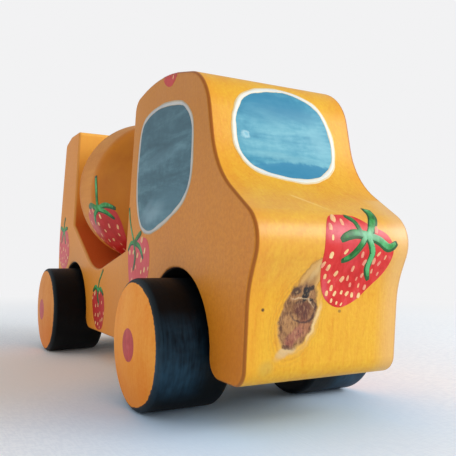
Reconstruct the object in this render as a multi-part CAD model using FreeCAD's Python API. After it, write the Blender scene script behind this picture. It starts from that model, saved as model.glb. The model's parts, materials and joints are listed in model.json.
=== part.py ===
import FreeCAD, Part
import math
import os

# Wooden push-along concrete mixer truck, millimetres, +Z up.
# +X is forward, +Y is the truck's left. The origin is on the floor, under the
# middle of the truck's length and width.

# Body block
BODY_WIDTH = 51.5
UNDERSIDE = 13.3            # height of the flat underside
EDGE_ROUND = 1.0            # sanded edge between the sides and the outline
WHEELBASE = 127.0

# Wheels and axles
WHEEL_DIAMETER = 40.0
WHEEL_RIM = 24.0            # thickness at the rim
WHEEL_DOME = 1.8            # how far the outer face swells at its middle
WHEEL_EDGE = 1.8            # rounded rim edge
WHEEL_STAND_OUT = 13.75     # how far the rim stands out of the body's side
AXLE_DIAMETER = 10.0
RUNNING_CLEARANCE = 0.08    # radial, between a turning piece and what it turns on
POCKET_DIAMETER = 46.0      # round wheel pockets bored into the sides
POCKET_END_PLAY = 1.0       # gap between a wheel and its pocket's floor
POCKET_FOOT_ROUND = 5.5     # where a pocket's wall meets the underside

# Mixer drum and the gap that it turns in. Both are laid out about the drum's
# axis, which drops towards the cab.
DRUM_TILT = 9.0             # degrees
DRUM_BEHIND_AXLE = 86.0     # drum centre, back from the front axle
DRUM_CENTRE_HEIGHT = 75.9
DRUM_RADIUS = 31.8
DRUM_BAND = 22.0            # length of the straight middle band
DRUM_LENGTH = 80.0
DRUM_CONE = 22.0            # degrees, slope of the two cones
DRUM_SHOULDER = 12.0        # soft rounding between the band and each cone
DRUM_EDGE = 1.2             # rounded rim of each end face
DRUM_BORE_EDGE = 0.6
GAP_LENGTH = 82.4           # along the drum's axis
GAP_DEPTH = 37.5            # from the axis to the point of the V-shaped floor
GAP_FLOOR_ROUND = 30.0
GAP_CORNER_ROUND = 1.5

# The drum's spindle, a dowel glued into the cab and the rear post
SPINDLE_DIAMETER = 10.0
SPINDLE_IN_CAB = 22.0
SPINDLE_GLUE_ROOM = 1.0     # left at the blind end of its hole

# Corners of the side outline: distance ahead of the front axle, height, and
# the radius that rounds the corner.
CAB_CORNERS = [
    (41.7, UNDERSIDE, 5.4),     # lower front edge
    (43.6, 38.8, 30.0),         # hollow under the nose
    (50.5, 54.6, 10.0),         # nose
    (25.4, 71.5, 27.0),         # foot of the windscreen
    (19.0, 101.1, 17.0),        # front of the roof
    (-15.4, 109.5, 80.0),       # crown of the roof
]
ROOF_BACK_HEIGHT = 104.8    # rear edge of the roof, at the top of the gap's front wall
ROOF_BACK_ROUND = 6.0
POST_CORNERS = [
    (-138.2, 108.8, 5.0),       # flat top
    (-148.9, 106.0, 3.0),       # top of the tail
    (-161.5, 56.0, 75.0),       # waist of the tail
    (-162.2, UNDERSIDE, 5.0),   # lower rear edge
]
POST_HEIGHT = 108.8

AXLE_HEIGHT = WHEEL_DIAMETER / 2
WHEEL_OUTER = BODY_WIDTH / 2 + WHEEL_STAND_OUT
WHEEL_INNER = WHEEL_OUTER - WHEEL_RIM
POCKET_FLOOR = WHEEL_INNER - POCKET_END_PLAY
TILT = math.radians(DRUM_TILT)
SIDES = {"left": 1.0, "right": -1.0}
TOLERANCE = 0.01
SPINDLE_OVERLAP = 1.0       # between the two lengths that the spindle is joined from


def point(x, z, y=0.0):
    return FreeCAD.Vector(x, y, z)


def along_drum(s, r):
    """Point s along the drum's axis from its centre (positive towards the cab) and r above it."""
    x = -DRUM_BEHIND_AXLE + s * math.cos(TILT) + r * math.sin(TILT)
    z = DRUM_CENTRE_HEIGHT - s * math.sin(TILT) + r * math.cos(TILT)
    return (x, z)


def wall_at_height(s, height):
    """Where the gap wall at s along the drum's axis reaches a height."""
    x, z = along_drum(s, 0)
    return (x + (height - z) * math.tan(TILT), height)


def rounded_outline(corners):
    """Closed wire in the XZ plane through corners (x, z, radius), each rounded by a tangent arc."""
    count = len(corners)
    starts = []
    ends = []
    middles = []
    for i in range(count):
        here = point(corners[i][0], corners[i][1])
        before = point(corners[i - 1][0], corners[i - 1][1])
        after = point(corners[(i + 1) % count][0], corners[(i + 1) % count][1])
        radius = corners[i][2]
        back = (before - here).normalize()
        on = (after - here).normalize()
        half = back.getAngle(on) / 2
        reach = radius / math.tan(half)
        inward = (back + on).normalize()
        starts.append(here + back * reach)
        ends.append(here + on * reach)
        middles.append(here + inward * (radius / math.sin(half) - radius))
    edges = []
    for i in range(count):
        edges.append(Part.Arc(starts[i], middles[i], ends[i]).toShape())
        edges.append(Part.LineSegment(ends[i], starts[(i + 1) % count]).toShape())
    return Part.Wire(edges)


def body_outline():
    """Side outline of the block: cab, V-floored drum gap and rear post."""
    half_gap = GAP_LENGTH / 2
    floor_rise = half_gap * math.tan(math.radians(DRUM_CONE))
    cab_foot = along_drum(half_gap, floor_rise - GAP_DEPTH)
    post_foot = along_drum(-half_gap, floor_rise - GAP_DEPTH)
    floor_point = along_drum(0, -GAP_DEPTH)
    roof_back = wall_at_height(half_gap, ROOF_BACK_HEIGHT)
    post_top = wall_at_height(-half_gap, POST_HEIGHT)
    corners = list(CAB_CORNERS)
    corners.append(roof_back + (ROOF_BACK_ROUND,))
    corners.append(cab_foot + (GAP_CORNER_ROUND,))
    corners.append(floor_point + (GAP_FLOOR_ROUND,))
    corners.append(post_foot + (GAP_CORNER_ROUND,))
    corners.append(post_top + (GAP_CORNER_ROUND,))
    corners.extend(POST_CORNERS)
    return rounded_outline(corners)


OUTLINE = body_outline()
OUTLINE_BOX = OUTLINE.optimalBoundingBox(False, False)
FRONT_AXLE_X = -(OUTLINE_BOX.XMin + OUTLINE_BOX.XMax) / 2


def in_truck_frame(shape):
    """Moves a shape laid out from the front axle to the frame with its origin at mid length."""
    return shape.translated(FreeCAD.Vector(FRONT_AXLE_X, 0, 0))


def cylinder_along(radius, start, direction, length):
    return Part.makeCylinder(radius, length, start, direction)


def revolved(profile, axis_point, axis):
    """Solid swept round an axis by a closed loop of edges."""
    face = Part.Face(Part.Wire(profile))
    return face.revolve(axis_point, axis, 360)


def wheel_pocket(axle_x, side):
    """Cutting tool for one wheel pocket, flared where its wall meets the underside."""
    radius = POCKET_DIAMETER / 2
    drop = AXLE_HEIGHT - UNDERSIDE
    # The flare follows a circle that touches the pocket's wall and the underside.
    fillet = POCKET_FOOT_ROUND
    fillet_drop = drop - fillet
    fillet_x = math.sqrt((radius + fillet) ** 2 - fillet_drop ** 2)
    touch = radius / (radius + fillet)
    depth = BODY_WIDTH
    start_y = POCKET_FLOOR if side > 0 else -POCKET_FLOOR - depth
    pieces = [cylinder_along(radius, point(axle_x, AXLE_HEIGHT, start_y), point(0, 0, 1), depth)]
    for end in (1.0, -1.0):
        wall_point = point(axle_x + end * fillet_x * touch, AXLE_HEIGHT - fillet_drop * touch, start_y)
        foot_point = point(axle_x + end * fillet_x, UNDERSIDE, start_y)
        centre = point(axle_x + end * fillet_x, UNDERSIDE + fillet, start_y)
        bisector = ((wall_point - centre).normalize() + (foot_point - centre).normalize()).normalize()
        arc = Part.Arc(wall_point, centre + bisector * fillet, foot_point).toShape()
        below = point(axle_x + end * fillet_x, 0, start_y)
        inner = point(axle_x, 0, start_y)
        hub = point(axle_x, AXLE_HEIGHT - fillet_drop * touch, start_y)
        lines = [Part.LineSegment(a, b).toShape() for a, b in
                 ((foot_point, below), (below, inner), (inner, hub), (hub, wall_point))]
        flare = Part.Face(Part.Wire([arc] + lines)).extrude(point(0, 0, depth))
        pieces.append(flare)
    return pieces[0].fuse(pieces[1:])


def spindle_line():
    """Start point at the tail and direction of the spindle's axis, towards the cab."""
    direction = point(math.cos(TILT), -math.sin(TILT))
    x, z = along_drum(-GAP_LENGTH, 0)
    return point(x, z), direction


def body_blank():
    """The sawn block before it is bored and sanded."""
    block = Part.Face(OUTLINE).extrude(point(0, 0, BODY_WIDTH))
    block.translate(point(0, 0, -BODY_WIDTH / 2))
    return block


def sand_edges(block):
    """Rounds every edge where a side of the block meets its outline or a wheel pocket."""
    side_edges = [edge for edge in block.Edges
                  if abs(abs(edge.BoundBox.YMin) - BODY_WIDTH / 2) < TOLERANCE
                  and edge.BoundBox.YLength < TOLERANCE]
    return block.makeFillet(EDGE_ROUND, side_edges)


def spindle_hole(radius, start_s, end_s):
    start, direction = spindle_line()
    offset = start_s + GAP_LENGTH
    return cylinder_along(radius, start + direction * offset, direction, end_s - start_s)


def make_body(blank):
    """Cab, chassis and post in one block, with wheel pockets and the bores for three dowels."""
    body = blank
    for axle_x in (0.0, -WHEELBASE):
        for side in SIDES.values():
            body = body.cut(wheel_pocket(axle_x, side))
    body = sand_edges(body)
    bore_radius = AXLE_DIAMETER / 2 + RUNNING_CLEARANCE
    for axle_x in (0.0, -WHEELBASE):
        start = point(axle_x, AXLE_HEIGHT, -BODY_WIDTH)
        body = body.cut(cylinder_along(bore_radius, start, point(0, 0, 1), 2 * BODY_WIDTH))
    hole_end = GAP_LENGTH / 2 + SPINDLE_IN_CAB + SPINDLE_GLUE_ROOM
    body = body.cut(spindle_hole(SPINDLE_DIAMETER / 2, -GAP_LENGTH, hole_end))
    return body


def make_spindle(blank):
    """Dowel glued in through the post and sanded flush with the tail."""
    end = GAP_LENGTH / 2 + SPINDLE_IN_CAB
    dowel = spindle_hole(SPINDLE_DIAMETER / 2, -GAP_LENGTH, end)
    in_post = dowel.common(blank).Solids
    tail = min(in_post, key=lambda solid: solid.BoundBox.XMin)
    inside_post = -GAP_LENGTH / 2 - SPINDLE_OVERLAP
    free = spindle_hole(SPINDLE_DIAMETER / 2, inside_post, end)
    return tail.fuse(free).removeSplitter()


def make_drum():
    """Two cones joined by a straight band, bored right through for the spindle."""
    half = DRUM_LENGTH / 2
    half_band = DRUM_BAND / 2
    end_radius = DRUM_RADIUS - (half - half_band) * math.tan(math.radians(DRUM_CONE))
    bore = SPINDLE_DIAMETER / 2 + RUNNING_CLEARANCE
    corners = [
        (half, bore, DRUM_BORE_EDGE),
        (half, end_radius, DRUM_EDGE),
        (half_band, DRUM_RADIUS, DRUM_SHOULDER),
        (-half_band, DRUM_RADIUS, DRUM_SHOULDER),
        (-half, end_radius, DRUM_EDGE),
        (-half, bore, DRUM_BORE_EDGE),
    ]
    drum = Part.Face(rounded_outline(corners)).revolve(point(0, 0), point(1, 0), 360)
    drum.rotate(point(0, 0), FreeCAD.Vector(0, 1, 0), DRUM_TILT)
    drum.translate(point(-DRUM_BEHIND_AXLE, DRUM_CENTRE_HEIGHT))
    return drum


def dome_height(radius):
    """Height of the wheel's domed face above its rim plane, at a radius from the axle."""
    rim = WHEEL_DIAMETER / 2 - WHEEL_EDGE
    sphere = (rim ** 2 + WHEEL_DOME ** 2) / (2 * WHEEL_DOME)
    return math.sqrt(sphere ** 2 - radius ** 2) - (sphere - WHEEL_DOME)


def make_wheel(axle_x, side):
    """Wheel turned about +Y, its domed face outwards, then set on its side of the truck."""
    bore = AXLE_DIAMETER / 2
    outer = WHEEL_DIAMETER / 2
    face_edge = outer - WHEEL_EDGE
    soft = WHEEL_EDGE * (1 - math.sqrt(0.5))
    inner_bore = FreeCAD.Vector(bore, WHEEL_INNER, 0)
    inner_edge = FreeCAD.Vector(face_edge, WHEEL_INNER, 0)
    inner_middle = FreeCAD.Vector(outer - soft, WHEEL_INNER + soft, 0)
    tread_in = FreeCAD.Vector(outer, WHEEL_INNER + WHEEL_EDGE, 0)
    tread_out = FreeCAD.Vector(outer, WHEEL_OUTER - WHEEL_EDGE, 0)
    outer_middle = FreeCAD.Vector(outer - soft, WHEEL_OUTER - soft, 0)
    outer_edge = FreeCAD.Vector(face_edge, WHEEL_OUTER, 0)
    half_face = (face_edge + bore) / 2
    dome_middle = FreeCAD.Vector(half_face, WHEEL_OUTER + dome_height(half_face), 0)
    outer_bore = FreeCAD.Vector(bore, WHEEL_OUTER + dome_height(bore), 0)
    profile = [
        Part.LineSegment(inner_bore, inner_edge).toShape(),
        Part.Arc(inner_edge, inner_middle, tread_in).toShape(),
        Part.LineSegment(tread_in, tread_out).toShape(),
        Part.Arc(tread_out, outer_middle, outer_edge).toShape(),
        Part.Arc(outer_edge, dome_middle, outer_bore).toShape(),
        Part.LineSegment(outer_bore, inner_bore).toShape(),
    ]
    wheel = revolved(profile, FreeCAD.Vector(0, 0, 0), FreeCAD.Vector(0, 1, 0))
    if side < 0:
        wheel = wheel.mirror(FreeCAD.Vector(0, 0, 0), FreeCAD.Vector(0, 1, 0))
    wheel.translate(point(axle_x, AXLE_HEIGHT))
    return wheel


def make_axle(axle_x):
    """Dowel through both wheels, its ends sanded to the wheels' domed faces."""
    radius = AXLE_DIAMETER / 2
    tip = WHEEL_OUTER + WHEEL_DOME
    shoulder = WHEEL_OUTER + dome_height(radius)
    between = WHEEL_OUTER + dome_height(radius / 2)
    ends = {}
    for side in SIDES.values():
        ends[side] = (FreeCAD.Vector(0, side * tip, 0),
                      FreeCAD.Vector(radius / 2, side * between, 0),
                      FreeCAD.Vector(radius, side * shoulder, 0))
    profile = [
        Part.Arc(*ends[1.0]).toShape(),
        Part.LineSegment(ends[1.0][2], ends[-1.0][2]).toShape(),
        Part.Arc(*reversed(ends[-1.0])).toShape(),
        Part.LineSegment(ends[-1.0][0], ends[1.0][0]).toShape(),
    ]
    axle = revolved(profile, FreeCAD.Vector(0, 0, 0), FreeCAD.Vector(0, 1, 0))
    axle.translate(point(axle_x, AXLE_HEIGHT))
    return axle


def export(shape, node):
    """Writes one node, after checking that it is a single sound solid."""
    placed = in_truck_frame(shape)
    if len(placed.Solids) != 1 or not placed.isValid():
        raise ValueError(node + " is not one sound solid")
    placed.Solids[0].exportStep("parts/" + node + ".step")
    box = placed.optimalBoundingBox(False, False)
    print("%-18s x %8.2f %8.2f  y %7.2f %7.2f  z %7.2f %7.2f" % (
        node, box.XMin, box.XMax, box.YMin, box.YMax, box.ZMin, box.ZMax))


def main():
    os.makedirs("parts", exist_ok=True)
    blank = body_blank()
    export(make_body(blank), "body")
    export(make_spindle(blank), "drum_spindle")
    export(make_drum(), "drum")
    for end, axle_x in (("front", 0.0), ("rear", -WHEELBASE)):
        export(make_axle(axle_x), end + "_axle")
        for side_name, side in SIDES.items():
            export(make_wheel(axle_x, side), "wheel_" + end + "_" + side_name)
    print("front axle at x = %.3f" % FRONT_AXLE_X)


main()
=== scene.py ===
import json
import math
import random

import bpy
import numpy as np
from mathutils import Matrix, Vector, geometry
from mathutils.bvhtree import BVHTree


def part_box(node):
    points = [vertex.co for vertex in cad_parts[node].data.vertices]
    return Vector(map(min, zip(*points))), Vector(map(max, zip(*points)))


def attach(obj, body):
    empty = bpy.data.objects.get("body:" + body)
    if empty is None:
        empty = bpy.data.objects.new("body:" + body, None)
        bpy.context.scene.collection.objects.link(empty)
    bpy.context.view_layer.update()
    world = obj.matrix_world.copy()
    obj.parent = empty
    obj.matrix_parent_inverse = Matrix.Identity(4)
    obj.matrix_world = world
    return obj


# A hand-painted wooden mixer truck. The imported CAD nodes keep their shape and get
# stained, varnished and painted surfaces. Windows and strawberries are thin layers of
# brushed paint laid over the wood. Places on the truck are given in millimetres from
# the front axle: u ahead of it (or to the truck's left on the front), v above the floor.

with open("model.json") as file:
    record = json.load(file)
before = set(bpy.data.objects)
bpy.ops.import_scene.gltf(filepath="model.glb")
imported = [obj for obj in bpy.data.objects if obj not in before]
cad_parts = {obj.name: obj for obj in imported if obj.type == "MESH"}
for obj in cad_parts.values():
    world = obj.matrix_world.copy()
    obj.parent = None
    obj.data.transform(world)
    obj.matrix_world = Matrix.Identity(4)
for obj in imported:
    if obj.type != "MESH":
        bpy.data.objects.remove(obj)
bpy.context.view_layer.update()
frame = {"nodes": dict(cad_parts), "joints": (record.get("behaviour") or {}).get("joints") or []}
MM = 0.001


def middle(node):
    low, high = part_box(node)
    return (Vector(low) + Vector(high)) / 2


FRONT_AXLE = middle("front_axle")
REAR_AXLE = middle("rear_axle")
BODY_LOW, BODY_HIGH = (Vector(corner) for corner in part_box("body"))
HALF_WIDTH = BODY_HIGH.y
DRUM_JOINT = next(joint for joint in frame["joints"] if joint["name"] == "drum_spin")
DRUM_CENTRE = Vector(DRUM_JOINT["pos_m"])
DRUM_AXIS = Vector(DRUM_JOINT["axis"]).normalized()

FRONT_START = BODY_HIGH.x - 12 * MM       # ahead of here all is the cab's front face
GAP_BACK = BODY_LOW.x + 25 * MM           # the post's face in the drum's gap
GAP_FRONT = BODY_HIGH.x - 83 * MM         # the cab's face in it

# Wheels: the painted face stops short of the rounded rim, and each wheel pocket in the
# body is painted black to its edge.
FACE_RADIUS = 18.6 * MM
FACE_SHIFT = 0.3 * MM
POCKET_RADIUS = 23.1 * MM
RIM_PLANE = 39.5 * MM


def colour(red, green, blue):
    """A colour chart value, 0 to 255 a channel, as the linear colour that shaders take."""
    def linear(value):
        value = value / 255
        return value / 12.92 if value <= 0.04045 else ((value + 0.055) / 1.055) ** 2.4
    return (linear(red), linear(green), linear(blue), 1)


# Materials

class Shader:
    """One material's node tree, built with short calls. Any value may be a number or a socket."""

    def __init__(self, name):
        self.material = bpy.data.materials.new(name)
        self.material.use_nodes = True
        self.tree = self.material.node_tree
        self.tree.nodes.clear()
        self.place = self.add("TexCoord").outputs["Object"]

    def add(self, kind, inputs=None, **settings):
        """A shader node of one kind, with the values or links of its inputs."""
        node = self.tree.nodes.new("ShaderNode" + kind)
        for key, value in settings.items():
            setattr(node, key, value)
        for key, value in (inputs or {}).items():
            self.put(node.inputs[key], value)
        return node

    def put(self, socket, value):
        if isinstance(value, bpy.types.NodeSocket):
            self.tree.links.new(value, socket)
        else:
            socket.default_value = value

    def math(self, operation, *values):
        node = self.add("Math", operation=operation)
        for socket, value in zip(node.inputs, values):
            self.put(socket, value)
        return node.outputs[0]

    def sum(self, *values):
        total = values[0]
        for value in values[1:]:
            total = self.math("ADD", total, value)
        return total

    def times(self, *values):
        product = values[0]
        for value in values[1:]:
            product = self.math("MULTIPLY", product, value)
        return product

    def length(self, first, second):
        """Length of a vector with two parts."""
        squares = self.math("ADD", self.times(first, first), self.times(second, second))
        return self.math("SQRT", squares)

    def axes(self, vector):
        return self.add("SeparateXYZ", {0: vector}).outputs

    def vector(self, x, y, z):
        return self.add("CombineXYZ", {0: x, 1: y, 2: z}).outputs[0]

    def mapped(self, vector, scale, location=(0, 0, 0), rotation=(0, 0, 0)):
        return self.add("Mapping", {"Vector": vector, "Scale": scale, "Location": location,
                                    "Rotation": rotation}).outputs[0]

    def noise(self, vector, scale, detail=2, roughness=0.5, distortion=0):
        return self.add("TexNoise", {
            "Vector": vector, "Scale": scale, "Detail": detail, "Roughness": roughness,
            "Distortion": distortion}).outputs["Fac"]

    def fade(self, value, start, end):
        """0 before start, 1 after end, and a smooth step between. start may be above end."""
        node = self.add("MapRange", {"Value": value, "From Min": start, "From Max": end},
                        interpolation_type="SMOOTHSTEP")
        return node.outputs["Result"]

    def mix(self, factor, first, second):
        return self.add("Mix", {0: factor, 6: first, 7: second}, data_type="RGBA").outputs[2]

    def tint(self, base, shade, *masks):
        """base under a colour chart shade, which is as strong as the product of the masks."""
        return self.mix(self.times(*masks), base, colour(*shade))

    def jitter(self, scale, detail, size):
        """Noise about zero, size from end to end."""
        return self.times(self.math("SUBTRACT", self.noise(self.place, scale, detail), 0.5), size)

    def reach(self, flat, centre, radii, turn=0):
        """Distance from the middle of an ellipse on the YZ plane, 1 on its edge. Millimetres and degrees."""
        local = self.add("Mapping", {
            "Vector": flat, "Location": (0, centre[0] * MM, centre[1] * MM),
            "Rotation": (math.radians(turn), 0, 0), "Scale": (1, radii[0] * MM, radii[1] * MM)},
            vector_type="TEXTURE").outputs[0]
        return self.add("VectorMath", {0: local}, operation="LENGTH").outputs["Value"]

    def blot(self, flat, centre, radii, turn=0, soft=0.25):
        """1 inside an ellipse and 0 outside it."""
        return self.fade(self.reach(flat, centre, radii, turn), 1 + soft, 1 - soft)

    def daub(self, base, flat, marks, *masks):
        """base with ellipses on it: centre, radii, turn, softness, strength and shade of each."""
        for centre, radii, turn, soft, strength, shade in marks:
            blot = self.blot(flat, centre, radii, turn, soft)
            base = self.tint(base, shade, blot, *masks, strength)
        return base

    def ramp(self, factor, *stops):
        """stops are (position, colour chart shade)."""
        node = self.add("ValToRGB", {0: factor})
        elements = node.color_ramp.elements
        while len(elements) < len(stops):
            elements.new(1)
        for element, (position, shade) in zip(elements, stops):
            element.position = position
            element.color = colour(*shade)
        return node.outputs[0]

    def finish(self, base, roughness, height, depth, coat=0, coat_roughness=0.2, gloss=0.5):
        """Ends the tree in a Principled shader. height is 0 to 1, and depth is its bump in metres."""
        bump = self.add("Bump", {"Strength": 1, "Distance": depth, "Height": height})
        surface = self.add("BsdfPrincipled", {
            "Base Color": base, "Roughness": roughness, "Normal": bump.outputs[0],
            "Coat Weight": coat, "Coat Roughness": coat_roughness, "Specular IOR Level": gloss})
        self.add("OutputMaterial", {0: surface.outputs[0]})
        return self.material


def stain(mat, light, deep, fibre, seed=0):
    """Stained wood: colour and height from cloudy stain, growth bands, fine fibres and pores.

    fibre is the scale along each axis; the small one is the way the fibres run.
    """
    along = mat.mapped(mat.place, fibre, location=(seed, seed, seed))
    cloud = mat.noise(mat.place, 28, 3, 0.55)
    growth = mat.noise(along, 150, 2, 0.5, 0.6)
    fibres = mat.noise(along, 1300, 3, 0.65)
    pores = mat.noise(mat.place, 950, 2, 0.6)
    tone = mat.sum(mat.times(cloud, 0.30), mat.times(growth, 0.26), mat.times(fibres, 0.24),
                   mat.times(pores, 0.24))
    base = mat.ramp(tone, (0.40, deep), (0.64, light))
    height = mat.sum(mat.times(fibres, 0.45), mat.times(growth, 0.2), mat.times(pores, 0.5))
    return base, height


# Ellipses on the front, in millimetres across, millimetres up and degrees: centre, radii and turn.
# These are parts of the knot low on the cab.
HEART = ((-9.7, 31.4), (5.3, 8.9), -22)
INSIDE_BARK = ((-9.5, 31.5), (4.7, 8.3), -22)
RING = ((-8.3, 32.9), (4.5, 3.6), -15)
INSIDE_RING = ((-8.6, 33.1), (3.9, 3.1), -15)
CRACK = [((-9, 36), (3, 0.24), -4), ((-5.9, 34.8), (1.5, 0.22), -58)]
# The knot's colours, from the ground up, with softness, strength and shade.
KNOT = [
    ((-9.2, 30.6), (6.2, 10), -22, 0.12, 0.42, (222, 180, 104)),    # bleached halo
    ((-4.4, 29.6), (0.65, 5), -24, 0.50, 0.48, (240, 218, 170)),
    ((-13, 22.2), (3, 1.2), 20, 0.40, 0.60, (214, 190, 150)),
    ((-6.6, 41.4), (3.1, 6.2), -31, 0.07, 0.60, (158, 106, 50)),    # tail, brown at its edge
    ((-6.4, 41.4), (2.7, 5.8), -31, 0.10, 0.95, (214, 164, 88)),
    ((-7, 39.6), (1.5, 3.4), -25, 0.50, 0.60, (140, 94, 54)),
    ((-5.6, 43.2), (0.7, 2.6), -31, 0.60, 0.50, (226, 190, 128)),
    (*HEART, 0.10, 1.00, (158, 110, 66)),
    ((-8.6, 37.6), (3.6, 2.4), -15, 0.30, 0.60, (158, 112, 68)),
    ((-12.1, 33.6), (2.6, 2.1), 0, 0.35, 0.80, (130, 86, 46)),
    ((-8.1, 32.4), (3.2, 2.8), -20, 0.30, 0.95, (98, 48, 34)),
    ((-5, 31.8), (1.3, 2.4), -15, 0.35, 0.80, (150, 102, 62)),
    ((-8.1, 28.1), (2.7, 2.1), 20, 0.40, 0.80, (168, 104, 70)),
    ((-12.2, 29.4), (3.3, 3.2), 0, 0.12, 0.80, (106, 64, 38)),
    ((-12.2, 29.3), (2.8, 2.8), 0, 0.25, 0.90, (176, 126, 76)),
    ((-10.8, 26.1), (3.5, 1.7), 42, 0.25, 0.90, (162, 98, 76)),
    ((-12, 24.6), (1.3, 0.9), 20, 0.50, 0.60, (134, 62, 48)),
    ((-13, 23.4), (1.4, 0.6), -20, 0.40, 0.70, (74, 42, 30)),
    ((-10.8, 38.1), (1.5, 1.2), 0, 0.30, 0.90, (54, 34, 28)),
    ((-10.6, 37.8), (0.5, 0.4), 0, 0.40, 0.80, (172, 136, 92)),
    ((-7.7, 37.2), (1.1, 2.3), -12, 0.22, 1.00, (20, 18, 20)),
    ((-6.3, 38.7), (1.1, 0.6), 30, 0.30, 0.95, (28, 22, 22)),
    ((-5.6, 35.6), (0.9, 0.5), 0, 0.35, 1.00, (24, 18, 18)),
    ((-4.7, 34.7), (0.7, 0.5), -30, 0.35, 0.90, (30, 22, 20)),
    ((-9.3, 35), (1.2, 0.5), 0, 0.50, 0.60, (60, 38, 34))]


def knot(mat, base, height):
    """A knot of brown heartwood with a crack across it and bark above the crack."""
    x, y, z = mat.axes(mat.place)
    on_front = mat.fade(x, FRONT_START, FRONT_START + 1.5 * MM)
    rough_y = mat.math("SUBTRACT", mat.noise(mat.place, 380, 4, 0.65), 0.5)
    rough_z = mat.math("SUBTRACT", mat.noise(mat.mapped(mat.place, (1, 1, 1), (3, 5, 7)), 380, 4, 0.65), 0.5)
    flat = mat.vector(0, mat.sum(y, mat.times(rough_y, 2.2 * MM)), mat.sum(z, mat.times(rough_z, 2.2 * MM)))
    fine = mat.noise(mat.mapped(mat.place, (1, 1, 0.4)), 1500, 3, 0.7)
    # The grain flows round the heart in brown lines that die away.
    around = mat.reach(flat, *HEART)
    waves = mat.sum(0.5, mat.times(mat.math("SINE", mat.times(around, 38)), 0.5))
    flow = mat.times(waves, mat.fade(around, 1.9, 1), on_front)
    base = mat.tint(base, (178, 116, 40), flow, 0.30)
    # Further off the growth lines are wide and faint.
    lines = mat.fade(mat.math("SINE", mat.times(around, 9)), 0.3, 1)
    faint = mat.times(lines, mat.fade(around, 1.4, 2.2), mat.fade(around, 6, 3.5), on_front)
    base = mat.tint(base, (214, 120, 16), faint, 0.10)
    base = mat.daub(base, flat, KNOT, on_front)
    heart = mat.times(mat.blot(flat, *HEART, 0.08), on_front)
    inside = mat.times(heart, mat.blot(flat, *INSIDE_BARK, 0.08))
    bark = mat.times(mat.sum(heart, mat.times(inside, -1)), 0.75, mat.fade(fine, 0.80, 0.30))
    base = mat.tint(base, (88, 48, 30), bark)
    # A dark ring lies round the heart's core, open at its top.
    low = mat.fade(mat.sum(z, mat.times(y, -0.5)), 39 * MM, 37 * MM)
    inside = mat.times(mat.blot(flat, *INSIDE_RING, 0.08), -1)
    ring = mat.times(mat.sum(mat.blot(flat, *RING, 0.08), inside), heart, low)
    base = mat.tint(base, (66, 36, 34), ring, 0.9)
    for centre, radii, turn in CRACK:
        crack = mat.times(mat.blot(flat, centre, radii, turn, 0.4), heart)
        base = mat.tint(base, (222, 192, 150), crack, 0.62)
    # Worn fibres are pale, and the dirt between them is dark.
    dust = mat.times(mat.fade(fine, 0.50, 0.68), heart)
    base = mat.tint(base, (206, 160, 110), dust, 0.36)
    grit = mat.times(mat.fade(fine, 0.48, 0.34), heart)
    base = mat.tint(base, (70, 40, 30), grit, 0.6)
    sunk = mat.times(heart, mat.sum(mat.times(rough_y, 1.6), -0.6))
    return base, mat.sum(height, sunk)


# Other marks on the front, in the same terms.
FRONT_MARKS = [
    ((-20.7, 33.4), (0.45, 0.42), 0, 0.4, 0.90, (58, 34, 18)),      # pin knots
    ((4.1, 32.2), (0.5, 0.42), 0, 0.4, 0.60, (96, 62, 30)),
    ((-18.9, 18.3), (2.2, 1.8), 20, 0.6, 0.25, (150, 134, 86)),     # old water spots
    ((-15.2, 20.9), (1.6, 0.9), 20, 0.6, 0.40, (214, 172, 110)),
    ((-6.2, 63.3), (8.3, 0.25), -25.5, 0.7, 0.45, (252, 220, 140)), # long scratch
    ((4, 66.6), (5, 0.22), 14, 0.8, 0.25, (252, 216, 136)),
    ((-23.5, 87), (3.2, 0.7), -3, 0.7, 0.30, (252, 222, 160)),      # painted highlights: sheen on the brushwork beside the windscreen
    ((-22.8, 84.6), (3.8, 0.6), 2, 0.7, 0.28, (252, 220, 156)),
    ((-24, 80.8), (2.8, 0.8), -2, 0.8, 0.25, (252, 222, 160))]


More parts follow.
